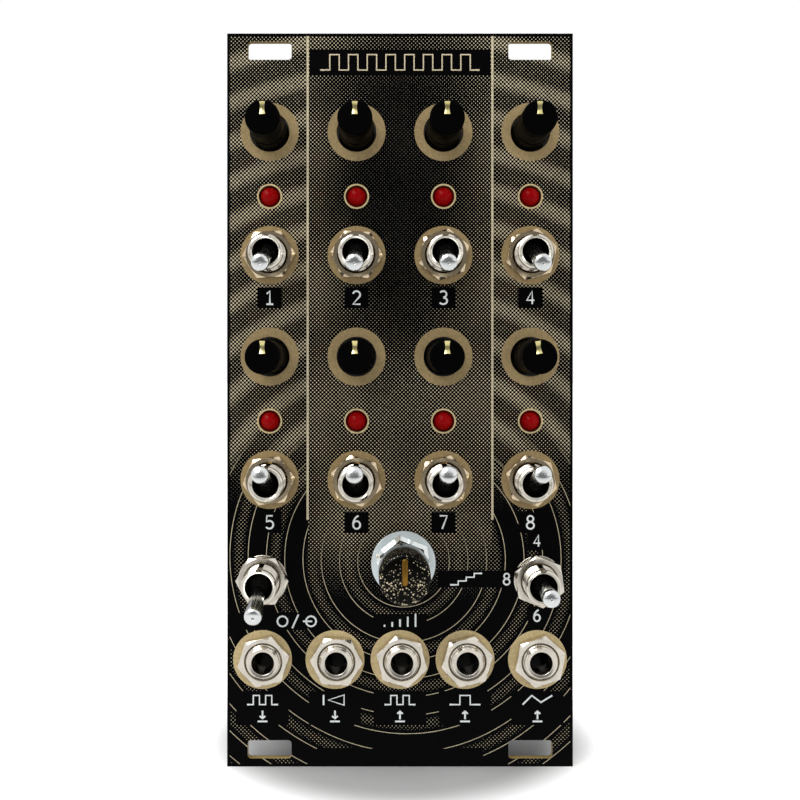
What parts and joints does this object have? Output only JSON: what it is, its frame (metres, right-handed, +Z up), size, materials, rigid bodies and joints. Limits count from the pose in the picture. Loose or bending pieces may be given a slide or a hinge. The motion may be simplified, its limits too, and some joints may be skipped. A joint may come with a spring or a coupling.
{
  "type": "eurorack module",
  "caption": "Slim rack module whose black circuit-board panel carries step pots, toggle switches, lamps, a rate knob and patch jacks, with boards stacked behind.",
  "frame": {"origin": "middle of the panel's back face, the face that rests on the rack's rails", "axes": "X to the right seen from the front, Z up, the panel faces -Y"},
  "size_m": [0.0606, 0.0544, 0.1284],
  "materials": {
    "panel_mask": "matt black lacquer over a glass-fibre board, with tan bare patches",
    "board_mask": "black lacquered circuit board",
    "red_lens": "clear tinted red resin",
    "tinned_wire": "tinned steel",
    "switch_resin": "dark blue moulded resin",
    "zinc_sheet": "bright tinned steel sheet",
    "nickel": "nickel-plated brass",
    "bright_zinc": "bright zinc-plated steel",
    "pot_resin": "black moulded resin",
    "jack_resin": "black moulded resin",
    "pin_gold": "gold-plated pins",
    "resistor_coat": "pale blue lacquer",
    "can_sleeve": "printed shrink sleeve over an aluminium can",
    "cap_dip": "dipped orange coat",
    "diode_glass": "small glass bead",
    "knob_resin": "black moulded resin",
    "pointer_resin": "pale yellow moulded resin",
    "lever_plate": "bright nickel-plated brass",
    "rate_knob_gloss": "polished black resin",
    "rate_pointer_brass": "dull gold insert"
  },
  "bodies": {
    "module": {"front_panel": "panel_mask", "control_board": "board_mask", "main_board": "board_mask", "step_lamps": "red_lens", "lamp_leads": "tinned_wire", "switch_cases": "switch_resin", "switch_frames": "zinc_sheet", "switch_bushings": "nickel", "switch_nuts": "nickel", "panel_washers": "bright_zinc", "switch_terminals": "tinned_wire", "pot_covers": "zinc_sheet", "pot_bases": "pot_resin", "pot_terminals": "tinned_wire", "rate_pot_bushing": "nickel", "rate_pot_nut": "bright_zinc", "jack_housings": "jack_resin", "jack_bushings": "nickel", "jack_nuts": "nickel", "jack_contacts": "tinned_wire", "board_connectors": "jack_resin", "connector_pins": "pin_gold", "board_spacers": "nickel", "board_screws": "bright_zinc", "chips": "jack_resin", "chip_sockets": "pot_resin", "power_header": "jack_resin", "resistors": "resistor_coat", "can_capacitors": "can_sleeve", "disc_capacitors": "cap_dip", "diodes": "diode_glass"},
    "step_knob_1": {"step_knob_1": "knob_resin", "step_pointer_1": "pointer_resin"},
    "step_knob_2": {"step_knob_2": "knob_resin", "step_pointer_2": "pointer_resin"},
    "step_knob_3": {"step_knob_3": "knob_resin", "step_pointer_3": "pointer_resin"},
    "step_knob_4": {"step_knob_4": "knob_resin", "step_pointer_4": "pointer_resin"},
    "step_knob_5": {"step_knob_5": "knob_resin", "step_pointer_5": "pointer_resin"},
    "step_knob_6": {"step_knob_6": "knob_resin", "step_pointer_6": "pointer_resin"},
    "step_knob_7": {"step_knob_7": "knob_resin", "step_pointer_7": "pointer_resin"},
    "step_knob_8": {"step_knob_8": "knob_resin", "step_pointer_8": "pointer_resin"},
    "step_lever_1": {"step_lever_1": "lever_plate"},
    "step_lever_2": {"step_lever_2": "lever_plate"},
    "step_lever_3": {"step_lever_3": "lever_plate"},
    "step_lever_4": {"step_lever_4": "lever_plate"},
    "step_lever_5": {"step_lever_5": "lever_plate"},
    "step_lever_6": {"step_lever_6": "lever_plate"},
    "step_lever_7": {"step_lever_7": "lever_plate"},
    "step_lever_8": {"step_lever_8": "lever_plate"},
    "mode_lever": {"mode_lever": "lever_plate"},
    "length_lever": {"length_lever": "lever_plate"},
    "rate_control": {"rate_shaft": "tinned_wire", "rate_knob": "rate_knob_gloss", "rate_pointer": "rate_pointer_brass"}
  },
  "joints": [
    {"name": "step_knob_1_turn", "type": "hinge", "parent": "module", "child": "step_knob_1", "pos_m": [-0.02286, -0.005, 0.047], "axis": [0, 1, 0], "range_deg": [-150, 150]},
    {"name": "step_knob_2_turn", "type": "hinge", "parent": "module", "child": "step_knob_2", "pos_m": [-0.00762, -0.005, 0.047], "axis": [0, 1, 0], "range_deg": [-150, 150]},
    {"name": "step_knob_3_turn", "type": "hinge", "parent": "module", "child": "step_knob_3", "pos_m": [0.00762, -0.005, 0.047], "axis": [0, 1, 0], "range_deg": [-150, 150]},
    {"name": "step_knob_4_turn", "type": "hinge", "parent": "module", "child": "step_knob_4", "pos_m": [0.02286, -0.005, 0.047], "axis": [0, 1, 0], "range_deg": [-150, 150]},
    {"name": "step_knob_5_turn", "type": "hinge", "parent": "module", "child": "step_knob_5", "pos_m": [-0.02286, -0.005, 0.0076], "axis": [0, 1, 0], "range_deg": [-150, 150]},
    {"name": "step_knob_6_turn", "type": "hinge", "parent": "module", "child": "step_knob_6", "pos_m": [-0.00762, -0.005, 0.0076], "axis": [0, 1, 0], "range_deg": [-150, 150]},
    {"name": "step_knob_7_turn", "type": "hinge", "parent": "module", "child": "step_knob_7", "pos_m": [0.00762, -0.005, 0.0076], "axis": [0, 1, 0], "range_deg": [-150, 150]},
    {"name": "step_knob_8_turn", "type": "hinge", "parent": "module", "child": "step_knob_8", "pos_m": [0.02286, -0.005, 0.0076], "axis": [0, 1, 0], "range_deg": [-142, 158]},
    {"name": "step_lever_1_tip", "type": "hinge", "parent": "module", "child": "step_lever_1", "pos_m": [-0.02286, -0.0058, 0.0254], "axis": [1, 0, 0], "range_deg": [-24, 0]},
    {"name": "step_lever_2_tip", "type": "hinge", "parent": "module", "child": "step_lever_2", "pos_m": [-0.00762, -0.0058, 0.0254], "axis": [1, 0, 0], "range_deg": [-24, 0]},
    {"name": "step_lever_3_tip", "type": "hinge", "parent": "module", "child": "step_lever_3", "pos_m": [0.00762, -0.0058, 0.0254], "axis": [1, 0, 0], "range_deg": [-24, 0]},
    {"name": "step_lever_4_tip", "type": "hinge", "parent": "module", "child": "step_lever_4", "pos_m": [0.02286, -0.0058, 0.0254], "axis": [1, 0, 0], "range_deg": [-24, 0]},
    {"name": "step_lever_5_tip", "type": "hinge", "parent": "module", "child": "step_lever_5", "pos_m": [-0.02286, -0.0058, -0.014], "axis": [1, 0, 0], "range_deg": [0, 24]},
    {"name": "step_lever_6_tip", "type": "hinge", "parent": "module", "child": "step_lever_6", "pos_m": [-0.00762, -0.0058, -0.014], "axis": [1, 0, 0], "range_deg": [0, 24]},
    {"name": "step_lever_7_tip", "type": "hinge", "parent": "module", "child": "step_lever_7", "pos_m": [0.00762, -0.0058, -0.014], "axis": [1, 0, 0], "range_deg": [0, 24]},
    {"name": "step_lever_8_tip", "type": "hinge", "parent": "module", "child": "step_lever_8", "pos_m": [0.02286, -0.0058, -0.014], "axis": [1, 0, 0], "range_deg": [0, 24]},
    {"name": "mode_lever_tip", "type": "hinge", "parent": "module", "child": "mode_lever", "pos_m": [-0.024, -0.0058, -0.0314], "axis": [1, 0, 0], "range_deg": [-29.2, 0]},
    {"name": "length_lever_tip", "type": "hinge", "parent": "module", "child": "length_lever", "pos_m": [0.0242, -0.0058, -0.0315], "axis": [1, 0, 0], "range_deg": [-12, 12]},
    {"name": "rate_knob_turn", "type": "hinge", "parent": "module", "child": "rate_control", "pos_m": [0.0006, -0.005, -0.0286], "axis": [0, 1, 0], "range_deg": [-150, 150]}
  ]
}
